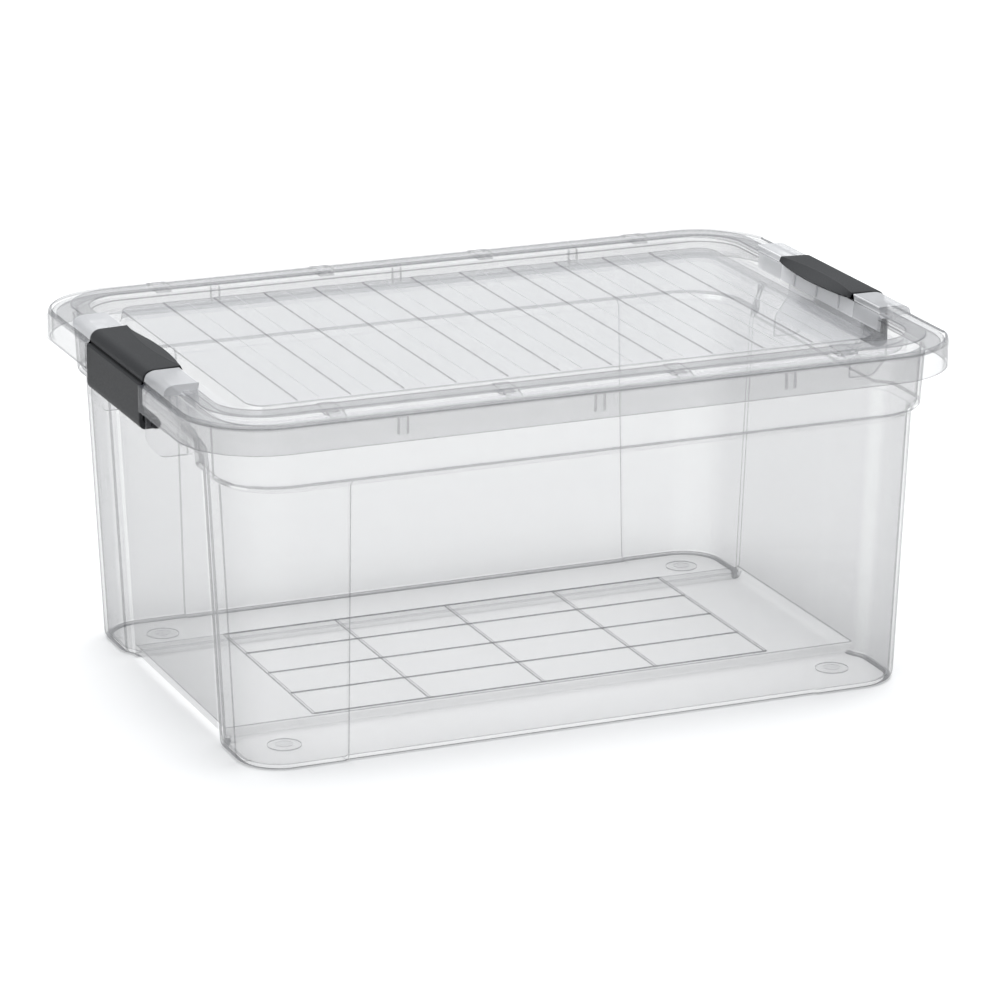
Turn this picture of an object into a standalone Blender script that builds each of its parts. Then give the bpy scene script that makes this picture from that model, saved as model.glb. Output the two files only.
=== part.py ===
"""Clear latching storage bin: a tub, a lift-off lid and two latches that swing out at the ends.

Metres, +Z up. X runs along the length, Y across the width and z = 0 is the surface it stands on.
Every size below is in millimetres and is turned into metres when a mesh is made.
"""

import math

import bmesh
import bpy
from mathutils import Matrix

MM = 0.001

# ---- tub --------------------------------------------------------------------------------------
WALL = 2.0                      # wall thickness of the moulding
BASE_X, BASE_Y = 187.0, 129.0   # half-size of the outer wall, drawn down to z = 0
BASE_R = 25.0                   # plan radius of the upright corners
DRAFT = 0.0445                  # outward lean of the walls, per mm of height
FOOT_R = 5.0                    # radius along the bottom edge
SHOULDER_Z = 150.0              # where the wall starts to step out
BAND_Z = 154.0                  # where the step ends and the upright band starts
BAND_X, BAND_Y, BAND_R = 197.6, 139.0, 33.0
RIM_Z = 186.2                   # top of the rim
FLANGE_X, FLANGE_Y, FLANGE_R = 209.0, 143.6, 40.0
FLANGE_THICK = 2.0
END_RECESS = 4.6                # depth of the panel in each end wall
END_BAND_RECESS = 8.2           # the same panel, measured from the band above it
PANEL_TOP, PANEL_GONE = 159.0, 171.0    # heights between which the end panel slopes out flush
END_FROM, END_TO = 73.0, 84.0   # where the end panel's S-shaped side starts and ends, in y
SIDE_RECESS = 1.2               # depth of the middle panel of each long wall
SIDE_FROM, SIDE_TO = 132.5, 134.5
STRIP_Y = 70.0                  # half-width of the raised strip along the floor
STRIP_RISE = 4.5                # height of the channel under that strip
GRID_X = (-130.5, -65.25, 0.0, 65.25, 130.5)
GRID_Y = (-70.0, -35.0, 0.0, 35.0, 70.0)
GRID_WIDE, GRID_HIGH = 1.6, 0.8
PAD_X, PAD_Y, PAD_R, PAD_HIGH = 157.0, 97.0, 9.0, 0.7
RIM_PLATE_X = (-107.5, 0.0, 107.5)
RIM_PLATE_WIDE = 5.0
CHEEK_Y, CHEEK_THICK = 45.6, 2.2
CHEEK_HOLE_R = 2.8

# ---- lid --------------------------------------------------------------------------------------
LID_X, LID_Y, LID_R = 214.0, 147.2, 45.0
SKIRT_Z = 173.0                 # bottom edge of the lid's skirt
LID_WALL = 1.8
LEDGE_Z = 188.7                 # flat ledge just inside the rounded outer edge
RIDGE_Z = 190.6                 # top of the ridge that runs all the way round
MOAT_Z = 181.0                  # bottom of the channel between the ridge and the panel
PANEL_Z = 187.6                 # middle panel
PANEL_X, PANEL_Y = 175.5, 106.4
BAND_PITCH, BAND_WIDE, BAND_RISE = 28.8, 12.3, 0.7
SADDLE_X = (-142.5, -47.5, 47.5, 142.5)
SADDLE_WIDE = 8.5
NOTCH_Y, NOTCH_X = 44.4, 204.5  # gap in each end of the skirt for the latch
BLOCK_FROM, BLOCK_TO = 44.4, 75.0
TIER_TO, TIER_X, TIER_Z = 111.0, 214.5, 187.0
END_STEP_X = 211.4              # the ledge stops here along each end, above the tier

# ---- latches ----------------------------------------------------------------------------------
PIVOT_X, PIVOT_Z = 206.0, 166.5
LATCH_HALF = 43.4               # half the latch's length along y
LIP_MID, LIP_END = 185.5, 189.8
CREST_MID, CREST_END = 195.2, 191.0
RIB_FULL, RIB_GONE = 36.0, 39.0 # the rib that bears on the lid's ridge fades out between these
TRUNNION_R, TRUNNION_OUT = 2.4, 47.2

CORNER_STEPS = 8                # straight pieces in each rounded corner


def clear_scene():
    for old in list(bpy.data.objects):
        bpy.data.objects.remove(old, do_unlink=True)


def new_collection(name, hidden=False):
    collection = bpy.data.collections.new(name)
    bpy.context.scene.collection.children.link(collection)
    collection.hide_render = hidden
    return collection


def plastic(name, colour, roughness, alpha=1.0):
    material = bpy.data.materials.new(name)
    material.use_nodes = True
    shader = material.node_tree.nodes["Principled BSDF"]
    shader.inputs["Base Color"].default_value = (*colour, 1.0)
    shader.inputs["Roughness"].default_value = roughness
    shader.inputs["Metallic"].default_value = 0.0
    shader.inputs["Alpha"].default_value = alpha
    material.diffuse_color = (*colour, alpha)
    return material


def mesh_object(name, bm, collection, material=None):
    """Turns a bmesh drawn in millimetres into an object in metres."""
    bmesh.ops.scale(bm, vec=(MM, MM, MM), verts=bm.verts)
    bmesh.ops.recalc_face_normals(bm, faces=bm.faces)
    mesh = bpy.data.meshes.new(name)
    bm.to_mesh(mesh)
    bm.free()
    if material:
        mesh.materials.append(material)
    obj = bpy.data.objects.new(name, mesh)
    collection.objects.link(obj)
    return obj


def all_round(quarter):
    """Repeats a run of (x, y) points from the +X side to the +Y side in all four quarters."""
    back = quarter[::-1]
    return (
        quarter
        + [(-x, y) for x, y in back]
        + [(-x, -y) for x, y in quarter]
        + [(x, -y) for x, y in back]
    )


def corner(half_x, half_y, radius):
    """A quarter circle of points round the corner of a rectangle."""
    points = []
    for step in range(CORNER_STEPS + 1):
        angle = 0.5 * math.pi * step / CORNER_STEPS
        x = half_x - radius * (1.0 - math.cos(angle))
        y = half_y - radius * (1.0 - math.sin(angle))
        points.append((x, y))
    return points


def plain_ring(half_x, half_y, radius, z):
    return [(x, y, z) for x, y in all_round(corner(half_x, half_y, radius))]


def tub_ring(half_x, half_y, radius, z, end_recess=0.0, side_recess=0.0):
    """A rounded rectangle whose end walls and long walls are set back in the middle."""
    span = END_TO - END_FROM
    quarter = [
        (half_x - end_recess, END_FROM),
        (half_x - 0.85 * end_recess, END_FROM + 0.3 * span),
        (half_x - 0.15 * end_recess, END_FROM + 0.7 * span),
        (half_x, END_TO),
    ]
    quarter += corner(half_x, half_y, radius)
    quarter += [(SIDE_TO, half_y), (SIDE_FROM, half_y - side_recess)]
    return [(x, y, z) for x, y in all_round(quarter)]


def loft(rings):
    """Joins rings of equal length into one closed skin, with a flat face on the first and the last."""
    bm = bmesh.new()
    rows = [[bm.verts.new(point) for point in ring] for ring in rings]
    count = len(rows[0])
    for low, high in zip(rows, rows[1:]):
        for i in range(count):
            j = (i + 1) % count
            bm.faces.new((low[i], low[j], high[j], high[i]))
    bm.faces.new(rows[0])
    bm.faces.new(rows[-1])
    return bm


def box(name, low, high, collection):
    bm = bmesh.new()
    bmesh.ops.create_cube(bm, size=1.0)
    size = [b - a for a, b in zip(low, high)]
    middle = [0.5 * (a + b) for a, b in zip(low, high)]
    bmesh.ops.scale(bm, vec=size, verts=bm.verts)
    bmesh.ops.translate(bm, vec=middle, verts=bm.verts)
    return mesh_object(name, bm, collection)


def rod(name, radius, start, end, collection, sides=20):
    """A cylinder along Y or Z between two points."""
    bm = bmesh.new()
    along_y = start[2] == end[2]
    length = end[1] - start[1] if along_y else end[2] - start[2]
    bmesh.ops.create_cone(
        bm, cap_ends=True, segments=sides, radius1=radius, radius2=radius, depth=length
    )
    if along_y:
        bmesh.ops.rotate(bm, matrix=Matrix.Rotation(0.5 * math.pi, 3, "X"), verts=bm.verts)
    middle = [0.5 * (a + b) for a, b in zip(start, end)]
    bmesh.ops.translate(bm, vec=middle, verts=bm.verts)
    return mesh_object(name, bm, collection)


def slab(name, outline, y_low, y_high, collection):
    """A flat plate: an outline in x and z, given a thickness along y."""
    rings = [[(x, y, z) for x, z in outline] for y in (y_low, y_high)]
    return mesh_object(name, loft(rings), collection)


def apply_boolean(target, tool, operation):
    """Joins the tool to the target, or cuts it away, and bakes the result into the mesh."""
    modifier = target.modifiers.new(tool.name, "BOOLEAN")
    modifier.operation = operation
    modifier.solver = "EXACT"
    modifier.object = tool
    bpy.context.view_layer.update()
    graph = bpy.context.evaluated_depsgraph_get()
    result = bpy.data.meshes.new_from_object(target.evaluated_get(graph))
    target.modifiers.remove(modifier)
    old = target.data
    target.data = result
    bpy.data.meshes.remove(old)


def tidy_mesh(obj):
    """Merges doubled points and makes every face point outwards."""
    bm = bmesh.new()
    bm.from_mesh(obj.data)
    bmesh.ops.remove_doubles(bm, verts=bm.verts, dist=0.00001)
    bmesh.ops.dissolve_degenerate(bm, edges=bm.edges, dist=0.00001)
    bmesh.ops.recalc_face_normals(bm, faces=bm.faces)
    bm.to_mesh(obj.data)
    bm.free()


def wall_ring(z, inset=0.0):
    """The tub's wall below the shoulder at height z, moved in by inset."""
    lean = DRAFT * z
    half_x = BASE_X + lean - inset
    half_y = BASE_Y + lean - inset
    return tub_ring(half_x, half_y, BASE_R + lean - inset, z, END_RECESS, SIDE_RECESS)


def band_ring(z, inset=0.0):
    """The tub's upright band above the shoulder at height z, moved in by inset."""
    lean = DRAFT * (z - BAND_Z)
    half_x = BAND_X + lean - inset
    half_y = BAND_Y + lean - inset
    left = (PANEL_GONE - z) / (PANEL_GONE - PANEL_TOP)
    recess = END_BAND_RECESS * min(1.0, max(0.0, left))
    return tub_ring(half_x, half_y, BAND_R - inset, z, recess)


def tub_outside(collection, material):
    """The tub as a solid block, from the foot's edge up to the flange round its rim."""
    feet = ((0.0, 4.0), (0.8, 2.1), (2.2, 0.8), (FOOT_R, 0.0), (SHOULDER_Z, 0.0))
    rings = [wall_ring(z, inset) for z, inset in feet]
    rings.append(band_ring(BAND_Z - 1.2, 1.1))
    heights = (BAND_Z, PANEL_TOP, PANEL_GONE, RIM_Z - FLANGE_THICK)
    rings += [band_ring(z) for z in heights]
    flange = (RIM_Z - FLANGE_THICK, RIM_Z)
    rings += [tub_ring(FLANGE_X, FLANGE_Y, FLANGE_R, z) for z in flange]
    return mesh_object("tub", loft(rings), collection, material)


def tub_cavity(cutters):
    """The room inside the tub, with a step in its floor for the raised strip."""
    inset = WALL + 2.6
    rings = [wall_ring(WALL, inset), wall_ring(WALL + 1.2, WALL + 0.9)]
    rings += [wall_ring(WALL + 3.2, WALL), wall_ring(SHOULDER_Z + 1.0, WALL)]
    heights = (BAND_Z + 0.6, PANEL_TOP, PANEL_GONE, RIM_Z + 3.0)
    rings += [band_ring(z, WALL) for z in heights]
    cavity = mesh_object("cavity", loft(rings), cutters)
    top = STRIP_RISE + WALL
    step = box("strip_step", (-230, -STRIP_Y - WALL, -5), (230, STRIP_Y + WALL, top), cutters)
    apply_boolean(cavity, step, "DIFFERENCE")
    return cavity


def cheek_outline():
    """The plate beside a latch, seen along y: chamfered below and joined to the end wall."""
    return [
        (197.6, 185.4),
        (210.6, 185.4),
        (211.4, 182.0),
        (211.4, 157.2),
        (203.5, 148.2),
        (188.4, 148.2),
        (188.9, 159.2),
        (197.4, 171.0),
    ]


def build_tub(collection, cutters, material):
    tub = tub_outside(collection, material)
    channel = box("channel", (-230, -STRIP_Y, -5), (230, STRIP_Y, STRIP_RISE), cutters)
    apply_boolean(tub, channel, "DIFFERENCE")
    apply_boolean(tub, tub_cavity(cutters), "DIFFERENCE")
    joined = []
    cut = []
    top = STRIP_RISE + WALL
    half = 0.5 * GRID_WIDE
    for x in GRID_X:
        low, high = (x - half, -STRIP_Y, top - 1), (x + half, STRIP_Y, top + GRID_HIGH)
        joined.append(box("grid_across", low, high, cutters))
    for y in GRID_Y:
        low, high = (GRID_X[0], y - half, top - 1), (GRID_X[-1], y + half, top + GRID_HIGH)
        joined.append(box("grid_along", low, high, cutters))
    for x in (-PAD_X, PAD_X):
        for y in (-PAD_Y, PAD_Y):
            joined.append(
                rod("pad", PAD_R, (x, y, 1.0), (x, y, WALL + PAD_HIGH), cutters, sides=24)
            )
    for side in (-1, 1):
        for x in RIM_PLATE_X:
            ends = sorted((side * (BAND_Y - 0.6), side * (FLANGE_Y - 0.4)))
            low = (x - 0.5 * RIM_PLATE_WIDE, ends[0], 175.0)
            high = (x + 0.5 * RIM_PLATE_WIDE, ends[1], RIM_Z - 1.0)
            joined.append(box("rim_plate", low, high, cutters))
    for side in (-1, 1):
        outline = [(side * x, z) for x, z in cheek_outline()]
        for ends in ((CHEEK_Y, CHEEK_Y + CHEEK_THICK), (-CHEEK_Y - CHEEK_THICK, -CHEEK_Y)):
            joined.append(slab("cheek", outline, *ends, cutters))
        start = (side * PIVOT_X, -60.0, PIVOT_Z)
        end = (side * PIVOT_X, 60.0, PIVOT_Z)
        cut.append(rod("pivot_hole", CHEEK_HOLE_R, start, end, cutters))
    for tool in joined:
        apply_boolean(tub, tool, "UNION")
    for tool in cut:
        apply_boolean(tub, tool, "DIFFERENCE")
    tidy_mesh(tub)
    return tub


def lid_skin():
    """The lid's section from the middle of its underside, round the skirt, to its top middle."""
    down = LID_WALL
    under = [
        (PANEL_X - 2.2, PANEL_Y - 2.2, 8.0, PANEL_Z - down),
        (PANEL_X - 0.6, PANEL_Y - 0.6, 9.5, MOAT_Z - down),
        (193.2, 123.6, 25.0, MOAT_Z - down),
        (194.4, 124.9, 26.0, RIDGE_Z - down),
        (199.4, 134.8, 31.0, RIDGE_Z - down),
        (200.4, 135.8, 32.0, LEDGE_Z - down),
        (LID_X - 3.0, LID_Y - 3.0, LID_R - 3.0, LEDGE_Z - down),
        (LID_X - down, LID_Y - down, LID_R - down, LEDGE_Z - down - 1.6),
        (LID_X - down, LID_Y - down, LID_R - down, SKIRT_Z),
    ]
    over = [
        (LID_X, LID_Y, LID_R, SKIRT_Z),
        (LID_X, LID_Y, LID_R, LEDGE_Z - 2.6),
        (LID_X - 0.6, LID_Y - 0.6, LID_R - 0.6, LEDGE_Z - 0.8),
        (LID_X - 2.0, LID_Y - 2.0, LID_R - 2.0, LEDGE_Z),
        (202.0, 137.6, 33.4, LEDGE_Z),
        (201.0, 136.6, 32.6, RIDGE_Z),
        (192.6, 123.2, 24.4, RIDGE_Z),
        (191.4, 121.8, 23.4, MOAT_Z),
        (PANEL_X + 1.2, PANEL_Y + 1.2, 11.0, MOAT_Z),
        (PANEL_X, PANEL_Y, 10.0, PANEL_Z),
    ]
    return [plain_ring(*row) for row in under + over]


def block_outline(side):
    """The raised shoulder beside a latch, seen along y."""
    outline = [
        (193.0, 187.6),
        (192.5, 190.6),
        (191.8, 193.6),
        (192.4, 194.2),
        (206.4, 194.1),
        (208.6, 193.4),
        (210.2, 192.0),
        (210.9, 190.4),
        (211.2, 187.6),
    ]
    return [(side * x, z) for x, z in outline]


def build_lid(collection, cutters, material):
    lid = mesh_object("lid", loft(lid_skin()), collection, material)
    for side in (-1, 1):
        across = sorted((side * END_STEP_X, side * 230))
        low, high = (across[0], -TIER_TO, TIER_Z + 0.1), (across[1], TIER_TO, 200)
        apply_boolean(lid, box("end_step", low, high, cutters), "DIFFERENCE")
    joined = []
    for step in range(-5, 6):
        x = step * BAND_PITCH
        low = (x - 0.5 * BAND_WIDE, -PANEL_Y + 2.0, PANEL_Z - 1.0)
        high = (x + 0.5 * BAND_WIDE, PANEL_Y - 2.0, PANEL_Z + BAND_RISE)
        joined.append(box("panel_band", low, high, cutters))
    for x in SADDLE_X:
        for side in (-1, 1):
            ends = sorted((side * 122.6, side * (LID_Y - 2.4)))
            low = (x - 0.5 * SADDLE_WIDE, ends[0], LEDGE_Z - 1.0)
            high = (x + 0.5 * SADDLE_WIDE, ends[1], RIDGE_Z + 0.5)
            joined.append(box("saddle", low, high, cutters))
    for side in (-1, 1):
        for ends in ((BLOCK_FROM, BLOCK_TO), (-BLOCK_TO, -BLOCK_FROM)):
            joined.append(slab("block", block_outline(side), *ends, cutters))
        for ends in ((BLOCK_FROM, TIER_TO), (-TIER_TO, -BLOCK_FROM)):
            across = sorted((side * (LID_X - 1.0), side * TIER_X))
            low = (across[0], ends[0], SKIRT_Z + 0.2)
            high = (across[1], ends[1], TIER_Z)
            joined.append(box("tier", low, high, cutters))
    for tool in joined:
        apply_boolean(lid, tool, "UNION")
    for side in (-1, 1):
        across = sorted((side * NOTCH_X, side * 230))
        low, high = (across[0], -NOTCH_Y, 165), (across[1], NOTCH_Y, 200)
        apply_boolean(lid, box("latch_notch", low, high, cutters), "DIFFERENCE")
    tidy_mesh(lid)
    return lid


def latch_section(y):
    """The latch's outline in x and z at one place along its length."""
    bow = 1.0 - (y / LATCH_HALF) ** 2
    lip = LIP_END + (LIP_MID - LIP_END) * bow
    crest = CREST_END + (CREST_MID - CREST_END) * bow
    rib = min(1.0, max(0.0, (RIB_GONE - abs(y)) / (RIB_GONE - RIB_FULL)))
    rib_z = 192.9 - 1.95 * rib
    return [
        (lip, 192.4),
        (crest - 0.4, 195.0),
        (crest + 0.6, 195.0),
        (206.2, 194.4),
        (209.0, 193.6),
        (210.8, 191.8),
        (211.4, 190.0),
        (211.6, 187.3),
        (212.9, 187.0),
        (213.4, 186.4),
        (213.7, 166.2),
        (213.0, 164.0),
        (211.2, 162.9),
        (206.0, 163.0),
        (203.5, 164.1),
        (202.5, 166.5),
        (203.5, 168.9),
        (206.0, 170.0),
        (208.0, 168.9),
        (208.9, 166.8),
        (210.4, 166.4),
        (211.6, 168.0),
        (211.6, 184.6),
        (209.7, 186.6),
        (209.6, 190.0),
        (208.0, 192.1),
        (205.8, 192.7),
        (200.8, 192.9),
        (200.4, rib_z),
        (196.4, rib_z),
        (196.0, 193.1),
        (crest + 0.6, 193.3),
        (lip + 1.0, 191.2),
    ]


def build_latch(name, side, collection, cutters, material):
    """A latch hooked over the lid; its origin is on the pivot, so turning it about Y opens it."""
    rings = []
    inner = [5.0 * step for step in range(-7, 8)]
    stations = [-LATCH_HALF, -RIB_GONE, -RIB_FULL, *inner, RIB_FULL, RIB_GONE, LATCH_HALF]
    for y in stations:
        rings.append([(side * x, y, z) for x, z in latch_section(y)])
    latch = mesh_object(name, loft(rings), collection, material)
    for end in (-1, 1):
        span = sorted((end * (LATCH_HALF - 1.0), end * TRUNNION_OUT))
        start = (side * PIVOT_X, span[0], PIVOT_Z)
        stop = (side * PIVOT_X, span[1], PIVOT_Z)
        trunnion = rod("trunnion", TRUNNION_R, start, stop, cutters)
        apply_boolean(latch, trunnion, "UNION")
    tidy_mesh(latch)
    pivot = (side * PIVOT_X * MM, 0.0, PIVOT_Z * MM)
    latch.data.transform(Matrix.Translation([-value for value in pivot]))
    latch.location = pivot
    return latch


def main():
    clear_scene()
    parts = new_collection("storage_bin")
    cutters = new_collection("cutters", hidden=True)
    clear = plastic("clear_plastic", (0.86, 0.88, 0.90), 0.12, 0.35)
    lid_clear = plastic("lid_plastic", (0.86, 0.88, 0.90), 0.12, 0.35)
    dark = plastic("latch_plastic", (0.075, 0.077, 0.082), 0.45)
    build_tub(parts, cutters, clear)
    build_lid(parts, cutters, lid_clear)
    build_latch("left_latch", -1, parts, cutters, dark)
    build_latch("right_latch", 1, parts, cutters, dark)
    for tool in cutters.objects:
        tool.hide_render = True
        tool.display_type = "WIRE"


main()
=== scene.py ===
"""Looks of the clear latching storage bin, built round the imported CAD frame.

Each CAD node is replaced by a finer mesh of the same size, with rounded edges and a procedural plastic.
Sizes below are millimetres, as in the CAD: X along the length, Y across, Z up from the floor.
"""

import math

import bmesh
import bpy
from mathutils import Matrix, Vector


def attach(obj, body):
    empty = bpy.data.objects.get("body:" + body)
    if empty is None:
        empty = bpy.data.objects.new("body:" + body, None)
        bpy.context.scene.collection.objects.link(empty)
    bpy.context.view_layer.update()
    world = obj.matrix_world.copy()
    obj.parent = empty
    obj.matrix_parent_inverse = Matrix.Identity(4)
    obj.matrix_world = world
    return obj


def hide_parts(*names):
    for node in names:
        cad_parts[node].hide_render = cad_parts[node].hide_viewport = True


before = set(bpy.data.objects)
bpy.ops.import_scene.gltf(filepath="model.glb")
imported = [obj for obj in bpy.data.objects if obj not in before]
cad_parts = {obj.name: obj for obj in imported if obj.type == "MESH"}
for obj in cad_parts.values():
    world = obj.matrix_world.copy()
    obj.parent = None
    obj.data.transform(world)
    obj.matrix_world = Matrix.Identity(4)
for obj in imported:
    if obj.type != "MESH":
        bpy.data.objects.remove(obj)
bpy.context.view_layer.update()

MM = 0.001

# ---- tub --------------------------------------------------------------------------------------
WALL = 2.0                      # wall thickness of the moulding
BASE_X, BASE_Y, BASE_R = 187.0, 129.0, 25.0
DRAFT = 0.0445                  # outward lean of the walls, per mm of height
FOOT_R = 5.0
SHOULDER_Z, BAND_Z = 150.2, 153.6
BAND_X, BAND_Y, BAND_R, BAND_FROM = 197.6, 139.0, 33.0, 154.0
RIM_Z, FLANGE_THICK = 186.2, 2.0
FLANGE_X, FLANGE_Y, FLANGE_R = 209.0, 143.6, 40.0
END_RECESS, END_BAND_RECESS = 4.6, 8.2
PANEL_TOP, PANEL_GONE = 159.0, 171.0
END_FROM, END_TO, GLOW_FROM = 73.0, 84.0, 67.0
SIDE_RECESS, SIDE_FROM, SIDE_TO = 1.2, 132.5, 134.5
STRIP_Y, STRIP_RISE = 70.0, 4.5
JOIN_Z = STRIP_RISE + WALL      # where the raised middle strip meets the end walls
# The strip along the join, JOIN_HIGH tall, is painted as a dark line of shade.
JOIN_HIGH = 0.9                 # height of the line along that join
LIFT = 0.9                      # how far the cavity's shoulder stands above the outer one
GRID_X = (-130.5, -65.25, 0.0, 65.25, 130.5)
GRID_Y = (-70.0, -35.0, 0.0, 35.0, 70.0)
CROSS_RIB_WIDE, LONG_RIB_WIDE, GRID_SLOPE, GRID_HIGH = 2.0, 1.0, 0.3, 0.8
PAD_X, PAD_Y, PAD_R, PAD_HIGH = 157.0, 97.0, 9.0, 0.7
PAD_TOP = WALL + PAD_HIGH
PAD_INNER_R, PAD_INNER_TOP = PAD_R - 4.5, PAD_TOP + 0.25
RIM_PLATE_X, RIM_PLATE_WIDE = (-107.5, 0.0, 107.5), 5.0
CHEEK_Y, CHEEK_THICK, CHEEK_HOLE_R = 45.6, 2.2, 2.8
PAST_END, ABOVE_LID = 230.0, 200.0  # beyond every wall, for the blocks that cut or fill

# ---- lid --------------------------------------------------------------------------------------
LID_X, LID_Y, LID_R = 214.0, 147.2, 45.0
SKIRT_Z, LEDGE_Z, RIDGE_Z, MOAT_Z, PANEL_Z = 173.0, 188.7, 190.6, 181.0, 187.6
LID_WALL = 1.8
PANEL_X, PANEL_Y = 175.5, 106.4
BAND_PITCH, BAND_WIDE, BAND_RISE = 28.8, 12.3, 0.7
SADDLE_X, SADDLE_WIDE = (-142.5, -47.5, 47.5, 142.5), 8.5
NOTCH_X, NOTCH_Y, NOTCH_FROM_Z = 204.5, 44.4, 165.0
BLOCK_FROM, BLOCK_TO = 44.4, 75.0
TIER_TO, TIER_X, TIER_Z = 111.0, 214.5, 187.0
END_STEP_X = 211.4              # the ledge stops here along each end, above the tier
LIP_RIB_Y = (-27.0, 0.0, 27.0)  # small ribs on the ridge's inner wall, under the latch's lip

# ---- latches ----------------------------------------------------------------------------------
PIVOT_X, PIVOT_Z = 206.0, 166.5
LATCH_HALF = 43.4
LIP_MID, LIP_END = 185.5, 189.8
CREST_MID, CREST_END = 195.2, 191.0
RIB_FULL, RIB_GONE = 36.0, 39.0 # the rib that bears on the lid's ridge fades out between these
RIB_ROOT_Z, RIB_DEEP = 192.9, 1.95
LATCH_EDGE = 0.45               # rounding of the latch's two ends
TRUNNION_R, TRUNNION_OUT = 2.4, 47.2

# ---- mesh fineness ----------------------------------------------------------------------------
CORNER_STEPS = 20
SIDE_SHARES = (0.0, 0.3, 0.75, 1.0)
SWEEP_MARK, CORNER_MARK = 3, 2  # the strips of the tub's sweeps and corners that show as lines
SWEEP_SHARES = (0.0, 0.08, 0.2, 0.35, 0.5, 0.65, 0.8, 0.92, 1.0)
FILLET_STEPS = 4
LATCH_STEPS = 16                # stations from the latch's middle to each end
PAD_SIDES, PAD_TOP_SIDES, ROD_SIDES = 48, 36, 32
SHARP_ANGLE, LATCH_SHARP_ANGLE = 32.0, 38.0
LEVEL_NORMAL = 0.8              # a face whose normal has a z above this counts as level
MERGE_GAP = 0.00001             # metres

# ---- material slots ---------------------------------------------------------------------------
# Upright walls; curved walls, a little greyer as a mild painted shade; dark edges, painted lines of
# shade along the edges; level faces; nearly clear faces; edges that catch the light, painted
# highlights; and thick walls that blur what is behind them, painted pale as a stand-in for their
# reflection.
PLAIN, SOFT, LINE, LEVEL, FAINT, BRIGHT, MILKY_SHEEN = range(7)

# Slots of the FILLET_STEPS strips of a rounded edge, in the order of the rows. A LINE strip is
# painted as a dark line of shade; FOOT's lowest two also paint the dark line of contact shade at the
# floor.
BROAD = (LINE, LINE, LINE, LINE)
LINED = (LINE, SOFT, SOFT, LINE)
CLEAR = (FAINT, FAINT, FAINT, FAINT)
NONE = (PLAIN, PLAIN, PLAIN, PLAIN)
FOOT = (LINE, LINE, PLAIN, PLAIN)

# ---- plastics ---------------------------------------------------------------------------------
# Each clear plastic: its colour, how much it hides face on, aslant and edge on, its roughness.
CLEAR_LOOKS = {
    "clear_wall": ((0.17, 0.173, 0.182), (0.120, 0.215, 0.66), 0.10),
    # A little greyer than the walls: a mild painted shade on curved walls.
    "clear_curve": ((0.20, 0.203, 0.212), (0.24, 0.38, 0.60), 0.10),
    # Dark and dense: the painted lines of shade along edges.
    "clear_edge": ((0.08, 0.084, 0.095), (0.44, 0.52, 0.70), 0.12),
    # Paler and clearer than the walls: a painted lift that offsets the shade under the bin.
    "clear_base": ((0.44, 0.445, 0.46), (0.03, 0.055, 0.06), 0.10),
    "clear_panel": ((0.26, 0.265, 0.28), (0.12, 0.24, 0.24), 0.10),
    "clear_faint": ((0.50, 0.505, 0.52), (0.02, 0.05, 0.12), 0.10),
    # Pale and dense: painted highlights.
    "clear_glint": ((0.78, 0.785, 0.80), (0.70, 0.75, 0.85), 0.10),
    # The haze of thick plastic, painted pale as a stand-in for its reflection.
    "clear_milky_sheen": ((0.58, 0.585, 0.60), (0.50, 0.58, 0.64), 0.10),
    # The same, paler still, on the tub's wall behind each latch.
    "clear_cloudy_sheen": ((0.84, 0.845, 0.86), (0.45, 0.50, 0.60), 0.10),
}
# The plastic in each slot, from PLAIN to MILKY_SHEEN. Only LEVEL and MILKY_SHEEN differ between the
# two: the tub's level faces are paler and clearer, a painted lift that offsets the shade under the bin.
TUB_SLOTS = ("wall", "curve", "edge", "base", "faint", "glint", "cloudy_sheen")
LID_SLOTS = ("wall", "curve", "edge", "panel", "faint", "glint", "milky_sheen")
COVER_PLACES = (0.0, 0.7, 0.86)     # where face on, aslant and edge on lie in Layer Weight
CLEAR_IOR, CLEAR_SPECULAR = 1.49, 0.2
CLEAR_ROUGH_RISE = 0.10             # how much rougher the hazy places are
FLOW, HAZE = (9.0, 3.0), (240.0, 4.0)       # noise scale and detail
FLOW_BUMP = (0.10, 0.0015)          # bump strength and distance
COAT_ROUGH, COAT_POWER, COAT_EDGE_ON, COAT_FACE_ON = 0.06, 5.0, 0.16, 0.025

LATCH_COLOUR, LATCH_SPECULAR = (0.032, 0.033, 0.035), 0.06
LATCH_DARKER, LATCH_LIGHTER = 0.88, 1.12
LATCH_ROUGH = (0.40, 0.52)
CLOUD, GRAIN = (14.0, 3.0), (1500.0, 2.0)   # noise scale and detail
GRAIN_BUMP = (0.25, 0.0002)

# These let the light through, so that the tub and the floor under them stay pale.
CAST_NO_SHADOW = ("lid_shell", "floor_grid", "floor_pads")
CLEAR_LAYERS = 64                   # clear faces that a ray may pass through

# ---- stage ------------------------------------------------------------------------------------
FLOOR_HALF, FLOOR_TONE = 12000.0, 0.90
SKY_SEEN, SKY_LIGHT, SKY_COLOUR = 1.05, 0.72, (0.96, 0.98, 1.0)
LAMP_PLACE, LAMP_AIM, LAMP_SIDE, LAMP_WATTS = (0.3, 0.5, 2.2), (0.0, 0.0, 0.1), 2.4, 60.0

# ---- view -------------------------------------------------------------------------------------
VIEW_AZIMUTH, VIEW_ELEVATION, VIEW_ROLL = -22.585, 17.041, -0.03
VIEW_TARGET, VIEW_DISTANCE, LENS_MM = (0.0026, 0.0, 0.0889), 2.5934, 173.67
SENSOR_MM, CLIP_END = 36.0, 100.0


# ---- points and rings -------------------------------------------------------------------------
def blend(a, b, share):
    return tuple(p + (q - p) * share for p, q in zip(a, b))


def smooth(share):
    return share * share * (3.0 - 2.0 * share)


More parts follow.
